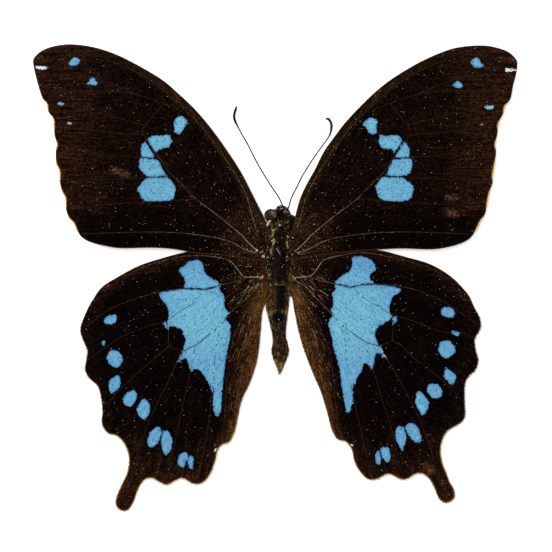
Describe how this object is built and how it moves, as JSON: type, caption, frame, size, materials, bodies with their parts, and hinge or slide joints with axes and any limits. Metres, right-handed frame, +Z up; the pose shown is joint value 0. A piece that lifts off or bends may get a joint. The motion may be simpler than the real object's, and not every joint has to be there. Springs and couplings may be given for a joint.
{
  "type": "spread butterfly specimen",
  "caption": "Dried swallowtail butterfly with its wings spread flat: waved wing edges, short tails, raised veins, body, thin antennae and folded legs. It rests on its breastplate.",
  "frame": {"origin": "on the surface that the specimen lies on, under the middle of the spread wings' outline", "axes": "+X to the right across the wings as seen from above, +Y towards the head, +Z up"},
  "size_m": [0.0848, 0.0816, 0.0065],
  "materials": {
    "wing_scales": "matt brown-black scales with sky-blue patches",
    "body_hair": "short black, gold and olive-brown hair",
    "eye": "grey-brown, faintly glossy facets",
    "dark_chitin": "black, satin"
  },
  "bodies": {
    "root": {"forewing_left": "wing_scales", "forewing_right": "wing_scales", "hindwing_left": "wing_scales", "hindwing_right": "wing_scales", "head": "body_hair", "thorax": "body_hair", "abdomen": "body_hair", "palp_left": "body_hair", "palp_right": "body_hair", "eye_left": "eye", "eye_right": "eye", "proboscis": "dark_chitin", "antenna_left": "dark_chitin", "antenna_right": "dark_chitin", "leg_front_left": "dark_chitin", "leg_front_right": "dark_chitin", "leg_middle_left": "dark_chitin", "leg_middle_right": "dark_chitin", "leg_hind_left": "dark_chitin", "leg_hind_right": "dark_chitin"}
  },
  "joints": []
}
